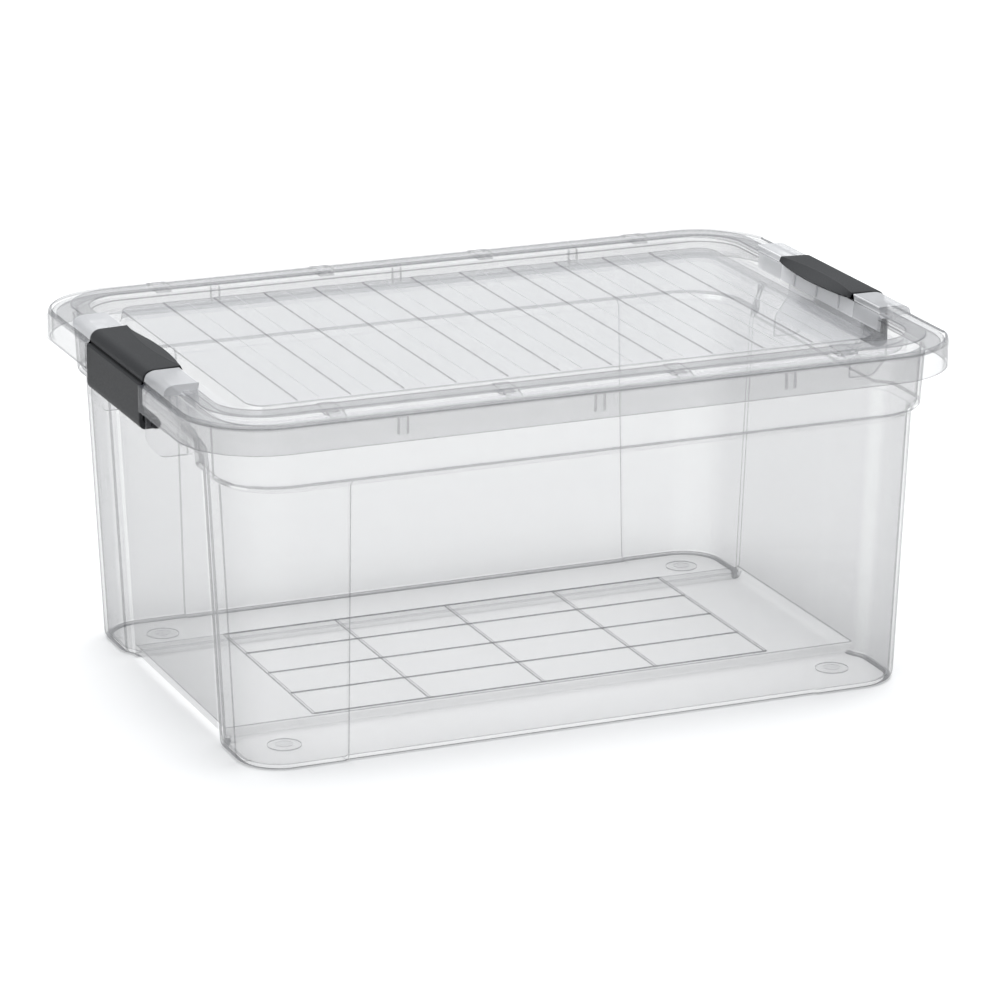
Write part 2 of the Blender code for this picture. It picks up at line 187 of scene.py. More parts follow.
def all_round(quarter):
    """Repeats a run of (x, y) points from the +X side to the +Y side in all four quarters."""
    back = quarter[::-1]
    return (
        quarter
        + [(-x, y) for x, y in back]
        + [(-x, -y) for x, y in quarter]
        + [(x, -y) for x, y in back]
    )


def ring(half_x, half_y, radius, z, end_recess=0.0, side_recess=0.0):
    """A rounded rectangle whose end walls and long walls may be set back in the middle."""
    quarter = [(half_x - end_recess, y) for y in (NOTCH_Y, GLOW_FROM)]
    for share in SWEEP_SHARES:
        y = END_FROM + (END_TO - END_FROM) * share
        quarter.append((half_x - end_recess * (1.0 - smooth(share)), y))
    for step in range(CORNER_STEPS + 1):
        angle = 0.5 * math.pi * step / CORNER_STEPS
        x = half_x - radius * (1.0 - math.cos(angle))
        y = half_y - radius * (1.0 - math.sin(angle))
        quarter.append((x, y))
    for share in SIDE_SHARES:
        x = SIDE_TO + (SIDE_FROM - SIDE_TO) * share
        quarter.append((x, half_y - side_recess * smooth(share)))
    return [(x, y, z) for x, y in all_round(quarter)]


def column_tints():
    """The slot of each upright strip of a ring of the tub, in the ring's own order.

    The sweeps and corners are marked at the left end only, and the steps of the long sides
    everywhere but at the near right. A marked strip is painted as a dark line of shade, so the
    painted lines differ from quarter to quarter. The shape is the same in all four quarters.
    """
    sweep = [PLAIN] * (len(SWEEP_SHARES) - 1)
    sweep[SWEEP_MARK] = LINE
    corner = [PLAIN] * (CORNER_STEPS + 1)
    corner[CORNER_MARK] = LINE
    lined = [PLAIN, FAINT] + sweep + corner + [PLAIN]
    bare = [PLAIN] * len(lined)
    step = [PLAIN, LINE, PLAIN]
    plain_step = [PLAIN] * len(step)
    flat = [PLAIN]
    far = bare + step + flat + step + lined[::-1] + flat
    near = lined + step + flat + plain_step + bare + flat
    return far + near


def step_towards(sizes, other, reach):
    """A ring between two others, the given distance from the first."""
    gap = math.hypot(other[1] - sizes[1], other[3] - sizes[3])
    gap = max(gap, abs(other[0] - sizes[0]), 1e-6)
    return blend(sizes, other, min(0.5, reach / gap))


def rounded(rows):
    """Turns (sizes, fillet, arc slots, strip slot) rows into (sizes, slot) rows with arcs."""
    out = []
    for i, (sizes, fillet, arc, strip_tint) in enumerate(rows):
        if fillet == 0.0:
            out.append((sizes, strip_tint))
            continue
        before = step_towards(sizes, rows[i - 1][0], fillet)
        after = step_towards(sizes, rows[i + 1][0], fillet)
        for step in range(FILLET_STEPS + 1):
            share = step / FILLET_STEPS
            point = blend(blend(before, sizes, share), blend(sizes, after, share), share)
            out.append((point, arc[step] if step < FILLET_STEPS else strip_tint))
    return out


def rounded_outline(points):
    """Rounds the corners of a closed outline of (a, b, fillet) points."""
    out = []
    count = len(points)
    for i, (a, b, fillet) in enumerate(points):
        here = (a, b)
        if fillet == 0.0:
            out.append(here)
            continue
        ends = []
        for other in (points[i - 1], points[(i + 1) % count]):
            gap = math.hypot(other[0] - a, other[1] - b)
            ends.append(blend(here, other[:2], min(0.45, fillet / gap)))
        for step in range(FILLET_STEPS + 1):
            share = step / FILLET_STEPS
            out.append(blend(blend(ends[0], here, share), blend(here, ends[1], share), share))
    return out


def outline_tints(points, side, corner):
    """The slot of each stretch of a rounded outline: its sides and its tightest corners."""
    tints = []
    for _, _, fillet in points:
        if fillet > 0.0:
            tints += [corner if fillet < 1.0 else side] * FILLET_STEPS
        tints.append(side)
    return tints


# ---- meshes -----------------------------------------------------------------------------------
def loft(bm, rings, tints, columns=None):
    """Joins rings of equal length into one closed skin with flat ends.

    A row of PLAIN faces takes its slots from columns, and any other row keeps its own slot.
    """
    rows = [[bm.verts.new(point) for point in one] for one in rings]
    count = len(rows[0])
    columns = columns or [PLAIN] * count
    for low, high, tint in zip(rows, rows[1:], tints):
        for i in range(count):
            j = (i + 1) % count
            face = bm.faces.new((low[i], low[j], high[j], high[i]))
            face.material_index = columns[i] if tint == PLAIN else tint
    for row in (rows[0], rows[-1]):
        bm.faces.new(row).material_index = PLAIN


def loft_rows(bm, rows, columns=None):
    table = rounded(rows)
    loft(bm, [ring(*sizes) for sizes, _ in table], [tint for _, tint in table], columns)


def prism(bm, outline, ends, place, side_tint=PLAIN, end_tint=LINE, tints=None):
    """A closed bar: an outline of (a, b) points drawn at each end by place(a, b, end)."""
    rows = [[bm.verts.new(place(a, b, end)) for a, b in outline] for end in ends]
    count = len(outline)
    for i in range(count):
        j = (i + 1) % count
        face = bm.faces.new((rows[0][i], rows[0][j], rows[1][j], rows[1][i]))
        face.material_index = tints[i] if tints else side_tint
    for row in rows:
        bm.faces.new(row).material_index = end_tint


def along_x(a, b, end):
    return (end, a, b)


def along_y(a, b, end):
    return (a, end, b)


def block(bm, low, high, tint):
    outline = [(low[1], low[2]), (high[1], low[2]), (high[1], high[2]), (low[1], high[2])]
    prism(bm, outline, (low[0], high[0]), along_x, tint, tint)


def disc(bm, radius, middle, low, high, sides, tint, edge_tint):
    turn = 2.0 * math.pi / sides
    flat = [(radius * math.cos(turn * i), radius * math.sin(turn * i)) for i in range(sides)]

    def upright(a, b, end):
        return (middle[0] + a, middle[1] + b, end)

    prism(bm, flat, (low, high), upright, edge_tint, tint)


def rod_y(bm, radius, x, z, ends, tint):
    turn = 2.0 * math.pi / ROD_SIDES
    flat = [
        (x + radius * math.cos(turn * i), z + radius * math.sin(turn * i))
        for i in range(ROD_SIDES)
    ]
    prism(bm, flat, ends, along_y, tint, tint)


def make_object(name, bm, materials):
    bmesh.ops.scale(bm, vec=(MM, MM, MM), verts=bm.verts)
    bmesh.ops.recalc_face_normals(bm, faces=bm.faces)
    mesh = bpy.data.meshes.new(name)
    bm.to_mesh(mesh)
    bm.free()
    for material in materials:
        mesh.materials.append(material)
    obj = bpy.data.objects.new(name, mesh)
    bpy.context.scene.collection.objects.link(obj)
    return obj


def combine(target, tool, operation):
    """Joins the tool to the target, or cuts it away, and then removes the tool."""
    modifier = target.modifiers.new("combine", "BOOLEAN")
    modifier.operation = operation
    modifier.solver = "EXACT"
    modifier.object = tool
    graph = bpy.context.evaluated_depsgraph_get()
    result = bpy.data.meshes.new_from_object(target.evaluated_get(graph))
    target.modifiers.remove(modifier)
    old = target.data
    target.data = result
    result.name = old.name
    bpy.data.meshes.remove(old)
    bpy.data.objects.remove(tool, do_unlink=True)


def retint(obj, low, high, tint, near_side=False):
    """Gives a slot to the faces whose middle lies in a box of |x|, |y| (or -y) and z."""
    for face in obj.data.polygons:
        middle = face.center / MM
        across = -middle.y if near_side else abs(middle.y)
        place = (abs(middle.x), across, middle.z)
        if all(a <= v <= b for a, v, b in zip(low, place, high)):
            face.material_index = tint


def shade(obj, angle=SHARP_ANGLE):
    """Cleans the mesh, marks the level faces, and smooths all but the real corners."""
    bm = bmesh.new()
    bm.from_mesh(obj.data)
    bmesh.ops.remove_doubles(bm, verts=bm.verts, dist=MERGE_GAP)
    bmesh.ops.dissolve_degenerate(bm, edges=bm.edges, dist=MERGE_GAP)
    bmesh.ops.recalc_face_normals(bm, faces=bm.faces)
    bm.to_mesh(obj.data)
    bm.free()
    # Level faces take the LEVEL slot; on the tub it is paler and clearer, a painted lift against the
    # shade under the bin.
    for face in obj.data.polygons:
        if face.material_index == PLAIN and len(obj.data.materials) > LEVEL:
            if abs(face.normal.z) > LEVEL_NORMAL:
                face.material_index = LEVEL
    obj.data.shade_smooth()
    obj.data.set_sharp_from_angle(angle=math.radians(angle))
    weighted = obj.modifiers.new("even_normals", "WEIGHTED_NORMAL")
    weighted.keep_sharp = True
    weighted.weight = 80


# ---- materials --------------------------------------------------------------------------------
def new_material(name):
    material = bpy.data.materials.new(name)
    material.use_nodes = True
    nodes = material.node_tree.nodes
    nodes.clear()
    return material, nodes, material.node_tree.links


def ramp(nodes, stops):
    node = nodes.new("ShaderNodeValToRGB")
    elements = node.color_ramp.elements
    while len(elements) < len(stops):
        elements.new(0.5)
    for element, (place, value) in zip(elements, stops):
        element.position = place
        element.color = (*value, 1.0) if isinstance(value, tuple) else (value, value, value, 1.0)
    return node


def noise(nodes, links, scale, detail, where):
    node = nodes.new("ShaderNodeTexNoise")
    node.inputs["Scale"].default_value = scale
    node.inputs["Detail"].default_value = detail
    links.new(where.outputs["Object"], node.inputs["Vector"])
    return node


def bump_from(nodes, links, height, strength, distance):
    node = nodes.new("ShaderNodeBump")
    node.inputs["Strength"].default_value = strength
    node.inputs["Distance"].default_value = distance
    links.new(height.outputs["Fac"], node.inputs["Height"])
    return node


def clear_plastic(name, colour, covers, rough):
    """Clear moulded plastic: seen through face on, greyer where the wall turns away."""
    material, nodes, links = new_material(name)
    where = nodes.new("ShaderNodeTexCoord")
    body = nodes.new("ShaderNodeBsdfPrincipled")
    body.inputs["Base Color"].default_value = (*colour, 1.0)
    body.inputs["IOR"].default_value = CLEAR_IOR
    body.inputs["Specular IOR Level"].default_value = CLEAR_SPECULAR
    flow = noise(nodes, links, *FLOW, where)
    haze = noise(nodes, links, *HAZE, where)
    rough_range = ramp(nodes, [(0.3, rough), (0.75, rough + CLEAR_ROUGH_RISE)])
    links.new(haze.outputs["Fac"], rough_range.inputs["Fac"])
    links.new(rough_range.outputs["Color"], body.inputs["Roughness"])
    bump = bump_from(nodes, links, flow, *FLOW_BUMP)
    links.new(bump.outputs["Normal"], body.inputs["Normal"])
    facing = nodes.new("ShaderNodeLayerWeight")
    facing.inputs["Blend"].default_value = 0.5
    cover = ramp(nodes, list(zip(COVER_PLACES, covers)))
    links.new(facing.outputs["Facing"], cover.inputs["Fac"])
    through = nodes.new("ShaderNodeBsdfTransparent")
    mixed = nodes.new("ShaderNodeMixShader")
    links.new(cover.outputs["Color"], mixed.inputs["Fac"])
    links.new(through.outputs["BSDF"], mixed.inputs[1])
    links.new(body.outputs["BSDF"], mixed.inputs[2])
    gloss = nodes.new("ShaderNodeBsdfGlossy")
    gloss.inputs["Roughness"].default_value = COAT_ROUGH
    links.new(bump.outputs["Normal"], gloss.inputs["Normal"])
    steep = nodes.new("ShaderNodeMath")
    steep.operation = "POWER"
    steep.inputs[1].default_value = COAT_POWER
    links.new(facing.outputs["Facing"], steep.inputs[0])
    shine = nodes.new("ShaderNodeMath")
    shine.operation = "MULTIPLY_ADD"
    shine.inputs[1].default_value = COAT_EDGE_ON
    shine.inputs[2].default_value = COAT_FACE_ON
    links.new(steep.outputs["Value"], shine.inputs[0])
    coated = nodes.new("ShaderNodeMixShader")
    links.new(shine.outputs["Value"], coated.inputs["Fac"])
    links.new(mixed.outputs["Shader"], coated.inputs[1])
    links.new(gloss.outputs["BSDF"], coated.inputs[2])
    output = nodes.new("ShaderNodeOutputMaterial")
    links.new(coated.outputs["Shader"], output.inputs["Surface"])
    return material


def dark_plastic(name, colour):
    """Satin dark moulded plastic with a fine spark-eroded grain."""
    material, nodes, links = new_material(name)
    where = nodes.new("ShaderNodeTexCoord")
    body = nodes.new("ShaderNodeBsdfPrincipled")
    body.inputs["Specular IOR Level"].default_value = LATCH_SPECULAR
    cloud = noise(nodes, links, *CLOUD, where)
    darker = tuple(LATCH_DARKER * c for c in colour)
    lighter = tuple(LATCH_LIGHTER * c for c in colour)
    tone = ramp(nodes, [(0.3, darker), (0.7, lighter)])
    links.new(cloud.outputs["Fac"], tone.inputs["Fac"])
    links.new(tone.outputs["Color"], body.inputs["Base Color"])
    grain = noise(nodes, links, *GRAIN, where)
    rough_range = ramp(nodes, [(0.3, LATCH_ROUGH[0]), (0.7, LATCH_ROUGH[1])])
    links.new(grain.outputs["Fac"], rough_range.inputs["Fac"])
    links.new(rough_range.outputs["Color"], body.inputs["Roughness"])
    bump = bump_from(nodes, links, grain, *GRAIN_BUMP)
    links.new(bump.outputs["Normal"], body.inputs["Normal"])
    output = nodes.new("ShaderNodeOutputMaterial")
    links.new(body.outputs["BSDF"], output.inputs["Surface"])
    return material


# ---- tub --------------------------------------------------------------------------------------
def wall_sizes(z, inset=0.0):
    lean = DRAFT * z
    radius = BASE_R + lean - inset
    return (BASE_X + lean - inset, BASE_Y + lean - inset, radius, z, END_RECESS, SIDE_RECESS)


def band_sizes(z, inset=0.0):
    lean = DRAFT * (z - BAND_FROM)
    left = (PANEL_GONE - z) / (PANEL_GONE - PANEL_TOP)
    recess = END_BAND_RECESS * min(1.0, max(0.0, left))
    return (BAND_X + lean - inset, BAND_Y + lean - inset, BAND_R - inset, z, recess, 0.0)


def tub_outside(bm):
    low = RIM_Z - FLANGE_THICK
    loft_rows(
        bm,
        [
            (wall_sizes(0.0, 9.0), 0.0, NONE, PLAIN),
            (wall_sizes(0.0), FOOT_R, FOOT, PLAIN),
            (wall_sizes(SHOULDER_Z), 1.0, (PLAIN, SOFT, PLAIN, PLAIN), PLAIN),
            (band_sizes(BAND_Z), 1.0, BROAD, PLAIN),
            (band_sizes(PANEL_TOP), 2.0, NONE, PLAIN),
            (band_sizes(PANEL_GONE), 2.0, NONE, PLAIN),
            (band_sizes(low), 0.7, CLEAR, FAINT),
            ((FLANGE_X, FLANGE_Y, FLANGE_R, low, 0.0, 0.0), 0.5, CLEAR, SOFT),
            ((FLANGE_X, FLANGE_Y, FLANGE_R, RIM_Z, 0.0, 0.0), 0.5, BROAD, SOFT),
            ((FLANGE_X - 12, FLANGE_Y - 7, FLANGE_R - 7, RIM_Z, 0.0, 0.0), 0.0, NONE, PLAIN),
        ],
        column_tints(),
    )


def tub_cavity(bm):
    loft_rows(
        bm,
        [
            (wall_sizes(WALL, WALL + 6.0), 0.0, NONE, PLAIN),
            (wall_sizes(WALL, WALL), 3.4, (SOFT, PLAIN, PLAIN, PLAIN), PLAIN),
            (wall_sizes(JOIN_Z, WALL), 0.0, NONE, PLAIN),
            (wall_sizes(JOIN_Z + JOIN_HIGH, WALL), 0.0, NONE, PLAIN),
            (wall_sizes(SHOULDER_Z + LIFT, WALL), 1.0, NONE, PLAIN),
            (band_sizes(BAND_Z + LIFT, WALL), 1.0, NONE, PLAIN),
            (band_sizes(PANEL_TOP, WALL), 2.0, NONE, PLAIN),
            (band_sizes(PANEL_GONE, WALL), 2.0, NONE, PLAIN),
            # The strip at the rim is painted as a dark line of shade.
            (band_sizes(RIM_Z - 0.7, WALL), 0.0, NONE, LINE),
            (band_sizes(RIM_Z + 3.0, WALL), 0.0, NONE, PLAIN),
        ],
    )


def strip_block(bm, half, top, edge):
    """A long block with slightly rounded top edges, to raise the middle strip of the floor."""
    corners = [(-half, -5.0, 0.0), (half, -5.0, 0.0), (half, top, 0.5), (-half, top, 0.5)]
    tints = outline_tints(corners, PLAIN, edge)
    prism(bm, rounded_outline(corners), (-PAST_END, PAST_END), along_x, tints=tints)


def build_tub(materials):
    bm = bmesh.new()
    tub_outside(bm)
    tub = make_object("tub_shell", bm, materials)
    bm = bmesh.new()
    strip_block(bm, STRIP_Y, STRIP_RISE, PLAIN)
    combine(tub, make_object("channel", bm, materials), "DIFFERENCE")
    bm = bmesh.new()
    tub_cavity(bm)
    cavity = make_object("cavity", bm, materials)
    bm = bmesh.new()
    # The raised strip's rounded top edges inside the tub are painted as dark lines of shade.
    strip_block(bm, STRIP_Y + WALL, STRIP_RISE + WALL, LINE)
    combine(cavity, make_object("strip_step", bm, materials), "DIFFERENCE")
    combine(tub, cavity, "DIFFERENCE")
    # The wall behind each latch, painted pale as a stand-in for its reflection, which hides what lies
    # beyond it.
    retint(tub, (188.0, 0.0, 160.0), (200.0, NOTCH_Y, 183.0), MILKY_SHEEN)
    # The lines of the long sides' steps stop at the shoulder.
    retint(tub, (132.0, 120.0, BAND_Z + 1.5), (135.0, 150.0, 183.0), PLAIN)
    # The join of the raised middle strip and the end walls, painted as a dark line of shade.
    retint(tub, (180.0, 0.0, JOIN_Z), (190.0, STRIP_Y + WALL, JOIN_Z + JOIN_HIGH), LINE)
    shade(tub)
    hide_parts("tub")
    pieces = [tub, floor_grid(materials), floor_pads(materials)]
    pieces += [rim_plates(materials), cheeks(materials)]
    return pieces


def floor_grid(materials):
    """Low ribs along and across the raised strip, as closed bars that stand on it."""
    bm = bmesh.new()
    low, high = STRIP_RISE + WALL, STRIP_RISE + WALL + GRID_HIGH
    # The ribs' sloping sides are painted as dark lines of shade.
    tints = [LINE, FAINT, LINE, FAINT]

    def rib(middle, width, ends, place):
        half, top = 0.5 * width, 0.5 * width - GRID_SLOPE
        outline = [
            (middle - half, low),
            (middle - top, high),
            (middle + top, high),
            (middle + half, low),
        ]
        prism(bm, outline, ends, place, tints=tints, end_tint=SOFT)

    for x in GRID_X:
        rib(x, CROSS_RIB_WIDE, (-STRIP_Y, STRIP_Y), along_y)
    for y in GRID_Y:
        rib(y, LONG_RIB_WIDE, (GRID_X[0], GRID_X[-1]), along_x)
    obj = make_object("floor_grid", bm, materials)
    shade(obj)
    return obj


def floor_pads(materials):
    bm = bmesh.new()
    for x in (-PAD_X, PAD_X):
        for y in (-PAD_Y, PAD_Y):
            # The pads' rims are painted as dark lines of shade.
            disc(bm, PAD_R, (x, y), WALL, PAD_TOP, PAD_SIDES, FAINT, LINE)
            disc(bm, PAD_INNER_R, (x, y), PAD_TOP, PAD_INNER_TOP, PAD_TOP_SIDES, FAINT, LINE)
    obj = make_object("floor_pads", bm, materials)
    shade(obj)
    return obj


def rim_plates(materials):
    """Thin uprights under the flange, seen through the lid's skirt."""
    bm = bmesh.new()
    half = 0.5 * RIM_PLATE_WIDE
    for side in (-1, 1):
        outline = [
            (side * (BAND_Y + 0.6), 175.0),
            (side * (FLANGE_Y - 1.6), 175.4),
            (side * (FLANGE_Y - 0.4), 176.8),
            (side * (FLANGE_Y - 0.4), RIM_Z - FLANGE_THICK),
            (side * (BAND_Y + 1.0), RIM_Z - FLANGE_THICK),
        ]
        for x in RIM_PLATE_X:
            prism(bm, outline, (x - half, x + half), along_x, FAINT, SOFT)
    obj = make_object("rim_plates", bm, materials)
    shade(obj)
    return obj


def cheeks(materials):
    """The plate on each side of each latch, with the hole that its trunnion turns in."""
    bm = bmesh.new()
    for side in (-1, 1):
        corners = [
            (198.4, 184.4, 0.0),
            (210.2, 184.4, 1.0),
            (211.4, 182.0, 2.0),
            (211.4, 157.2, 3.0),
            (203.5, 148.2, 3.0),
            (189.2, 148.2, 0.0),
            (189.6, 159.2, 2.0),
            (198.2, 171.0, 1.0),
        ]
        outline = [(side * x, z) for x, z in rounded_outline(corners)]
        tints = [SOFT] * len(outline)
        for near in (CHEEK_Y, -CHEEK_Y - CHEEK_THICK):
            ends = (near, near + CHEEK_THICK)
            prism(bm, outline, ends, along_y, end_tint=FAINT, tints=tints)
    obj = make_object("latch_cheeks", bm, materials)
    bm = bmesh.new()
    for side in (-1, 1):
        for near in (CHEEK_Y, -CHEEK_Y - CHEEK_THICK):
            # The holes' walls are painted as dark lines of shade.
            rod_y(bm, CHEEK_HOLE_R, side * PIVOT_X, PIVOT_Z, (near - 2, near + 5), tint=LINE)
    combine(obj, make_object("holes", bm, materials), "DIFFERENCE")
    shade(obj)
    return obj


# ---- lid --------------------------------------------------------------------------------------
def lid_skin(bm):
    """One closed skin: from the middle of the underside, round the skirt, to the top middle."""
    down = LID_WALL

    def row(half_x, half_y, radius, z, fillet, arc, strip):
        return ((half_x, half_y, radius, z, 0.0, 0.0), fillet, arc, strip)

    # Each LINE strip, and each LINE in an arc, paints a dark line of shade along an edge.
    rows = [
        row(PANEL_X - 8.0, PANEL_Y - 8.0, 4.0, PANEL_Z - down, 0.0, NONE, PLAIN),
        row(PANEL_X - 2.2, PANEL_Y - 2.2, 8.0, PANEL_Z - down, 0.8, CLEAR, FAINT),
        row(PANEL_X - 0.6, PANEL_Y - 0.6, 9.5, MOAT_Z - down, 0.8, CLEAR, FAINT),
        row(193.2, 123.6, 25.0, MOAT_Z - down, 0.8, CLEAR, FAINT),
        row(194.4, 124.9, 26.0, RIDGE_Z - down, 0.8, CLEAR, FAINT),
        row(199.4, 134.8, 31.0, RIDGE_Z - down, 0.6, CLEAR, FAINT),
        row(200.4, 135.8, 32.0, LEDGE_Z - down, 0.6, CLEAR, FAINT),
        row(LID_X - down, LID_Y - down, LID_R - down, LEDGE_Z - down, 1.2, NONE, PLAIN),
        row(LID_X - down, LID_Y - down, LID_R - down, SKIRT_Z, 0.3, NONE, LINE),
        row(LID_X, LID_Y, LID_R, SKIRT_Z, 0.4, NONE, PLAIN),
        row(LID_X, LID_Y, LID_R, LEDGE_Z, 2.3, LINED, FAINT),
        row(202.0, 137.6, 33.4, LEDGE_Z, 0.5, CLEAR, FAINT),
        row(201.0, 136.6, 32.6, RIDGE_Z, 0.6, BROAD, SOFT),
        row(192.6, 123.2, 24.4, RIDGE_Z, 0.7, BROAD, FAINT),
        # A step of 0.07 mm whose strip is painted as a dark line of shade.
        row(192.12, 122.65, 24.0, 187.3, 0.0, NONE, LINE),
        row(192.05, 122.55, 23.9, 186.5, 0.0, NONE, FAINT),
        row(191.4, 121.8, 23.4, MOAT_Z, 1.4, NONE, PLAIN),
        row(PANEL_X + 1.2, PANEL_Y + 1.2, 11.0, MOAT_Z, 1.4, NONE, PLAIN),
        row(PANEL_X, PANEL_Y, 10.0, PANEL_Z, 0.6, BROAD, PLAIN),
        row(PANEL_X - 5.0, PANEL_Y - 5.0, 6.0, PANEL_Z, 0.0, NONE, PLAIN),
    ]
    loft_rows(bm, rows)


def panel_bands(bm):
    """Eleven low raised bands across the lid's panel."""
    low, base, top = PANEL_Z - 1.0, PANEL_Z, PANEL_Z + BAND_RISE
    wide, narrow = 0.5 * BAND_WIDE + 0.15, 0.5 * BAND_WIDE - 0.25
    # The slope facing -X is painted dark as a shaded side, and the slope facing +X pale as a lit side.
    tints = [PLAIN, LINE, PLAIN, BRIGHT, PLAIN, PLAIN]
    for step in range(-5, 6):
        x = step * BAND_PITCH
        outline = [
            (x - wide, low),
            (x - wide, base),
            (x - narrow, top),
            (x + narrow, top),
            (x + wide, base),
            (x + wide, low),
        ]
        ends = (-PANEL_Y + 2.0, PANEL_Y - 2.0)
        prism(bm, outline, ends, along_y, tints=tints, end_tint=PLAIN)


def saddles(bm):
    """Small arched bridges over the ridge and the ledge of each long side."""
    for side in (-1, 1):
        corners = [
            (123.0, 187.9, 0.0),
            (123.2, 191.1, 0.6),
            (136.8, 191.1, 3.0),
            (143.0, 189.6, 2.5),
            (144.8, 187.7, 0.0),
        ]
        outline = [(side * y, z) for y, z in rounded_outline(corners)]
        for x in SADDLE_X:
            ends = (x - 0.5 * SADDLE_WIDE, x + 0.5 * SADDLE_WIDE)
            prism(bm, outline, ends, along_x, SOFT, SOFT)


def latch_blocks(bm):
    """The raised shoulder and the thicker skirt on each side of each latch."""
    for side in (-1, 1):
        shoulder = [
            (193.0, 187.7, 0.0),
            (192.5, 190.6, 0.6),
            (191.8, 194.2, 0.7),
            (206.6, 194.1, 2.4),
            (210.4, 192.2, 2.0),
            (211.2, 187.7, 0.0),
        ]
        outline = [(side * x, z) for x, z in rounded_outline(shoulder)]
        # The sides are hazy and painted pale as a stand-in for reflection; the tight corners are
        # painted highlights.
        tints = outline_tints(shoulder, MILKY_SHEEN, BRIGHT)
        tier = [
            (212.9, 173.2, 0.0),
            (TIER_X, 173.2, 0.3),
            (TIER_X, TIER_Z, 1.0),
            (212.9, TIER_Z, 0.0),
        ]
        skirt = [(side * x, z) for x, z in rounded_outline(tier)]
        for ends in ((BLOCK_FROM, BLOCK_TO), (-BLOCK_TO, -BLOCK_FROM)):
            prism(bm, outline, ends, along_y, end_tint=MILKY_SHEEN, tints=tints)
        for ends in ((BLOCK_FROM, TIER_TO), (-TIER_TO, -BLOCK_FROM)):
            prism(bm, skirt, ends, along_y, PLAIN, PLAIN)


def lip_ribs(bm):
    """Short upright ribs on the wall behind each latch's lip."""
    for side in (-1, 1):
        outline = [(193.2, 182.0), (190.4, 182.0), (191.2, 189.6), (193.2, 189.6)]
        outline = [(side * x, z) for x, z in outline]
        for y in LIP_RIB_Y:
            # The ribs' sides are painted as dark lines of shade.
            prism(bm, outline, (y - 0.8, y + 0.8), along_y, LINE, SOFT)


def build_lid(materials):
    bm = bmesh.new()
    lid_skin(bm)
    lid = make_object("lid_shell", bm, materials)
    bm = bmesh.new()
    # The faces cut by these blocks take their LINE slot, painted as dark lines of shade.
    for side in (-1, 1):
        across = sorted((side * END_STEP_X, side * PAST_END))
        block(bm, (across[0], -TIER_TO, TIER_Z + 0.1), (across[1], TIER_TO, ABOVE_LID), LINE)
    combine(lid, make_object("end_steps", bm, materials), "DIFFERENCE")
    bm = bmesh.new()
    panel_bands(bm)
    saddles(bm)
    latch_blocks(bm)
    lip_ribs(bm)
    combine(lid, make_object("raised", bm, materials), "UNION")
    bm = bmesh.new()
    # The faces cut by these blocks take their LINE slot, painted as dark lines of shade.
    for side in (-1, 1):
        across = sorted((side * NOTCH_X, side * PAST_END))
        block(bm, (across[0], -NOTCH_Y, NOTCH_FROM_Z), (across[1], NOTCH_Y, ABOVE_LID), LINE)
    combine(lid, make_object("notches", bm, materials), "DIFFERENCE")
    # The ridge's inner wall beside each latch, painted pale as a stand-in for reflection, and behind
    # its lip, painted as a highlight.
    retint(lid, (190.0, NOTCH_Y, 181.5), (194.8, END_FROM + 0.5, 190.0), MILKY_SHEEN)
    retint(lid, (190.0, 0.0, 181.5), (194.8, NOTCH_Y, 190.0), BRIGHT)
    # The outer end of each raised block, painted pale as a stand-in for reflection.
    retint(lid, (190.0, BLOCK_TO - 0.2, 188.0), (213.0, BLOCK_TO + 0.2, 195.0), MILKY_SHEEN)
    # The panel's edge wall along the near side, painted greyer: a painted shade that dims the bright
    # line this wall shows from the camera's side. The one along the far side keeps its slot.
    low, high = (0.0, PANEL_Y - 0.2, MOAT_Z + 0.6), (PANEL_X, PANEL_Y + 1.4, PANEL_Z - 0.3)
    retint(lid, low, high, SOFT, near_side=True)
    shade(lid)
    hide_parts("lid")
    return [lid]


# ---- latches ----------------------------------------------------------------------------------
def latch_section(y):
    """The latch's outline in x and z at one place along its length, with its corners rounded."""
    bow = 1.0 - (y / LATCH_HALF) ** 2
    lip = LIP_END + (LIP_MID - LIP_END) * bow
    crest = CREST_END + (CREST_MID - CREST_END) * bow
    rib = min(1.0, max(0.0, (RIB_GONE - abs(y)) / (RIB_GONE - RIB_FULL)))
    rib_z = RIB_ROOT_Z - RIB_DEEP * rib
    corners = [
        (lip, 192.4, 0.3),
        (crest - 0.1, 195.0, 0.35),
        (crest + 0.8, 194.85, 0.35),
        (208.6, 194.3, 3.0),
        (211.35, 191.2, 2.4),
        (211.55, 188.6, 0.3),
        (210.9, 188.0, 0.15),
        (210.9, 187.3, 0.1),
        (213.0, 187.1, 0.15),
        (213.45, 186.5, 0.25),
        (213.7, 166.2, 1.6),
        (213.0, 164.0, 0.9),
        (211.2, 162.9, 0.9),
        (206.0, 163.0, 1.2),
        (203.5, 164.1, 1.1),
        (202.5, 166.5, 1.1),
        (203.5, 168.9, 1.1),
        (206.0, 170.0, 1.1),
        (208.0, 168.9, 0.8),
        (208.9, 166.8, 0.6),
        (210.4, 166.4, 0.5),
        (211.6, 168.0, 0.5),
        (211.6, 184.6, 0.5),
        (209.7, 186.6, 0.5),
        (209.6, 190.0, 0.8),
        (208.0, 192.1, 0.6),
        (205.8, 192.7, 0.5),
        (200.8, 192.9, 0.2),
        (200.4, rib_z, 0.2),
        (196.4, rib_z, 0.2),
        (196.0, 193.1, 0.0),
        (crest + 0.6, 193.3, 0.0),
        (lip + 1.0, 191.2, 0.3),
    ]
    return rounded_outline(corners)


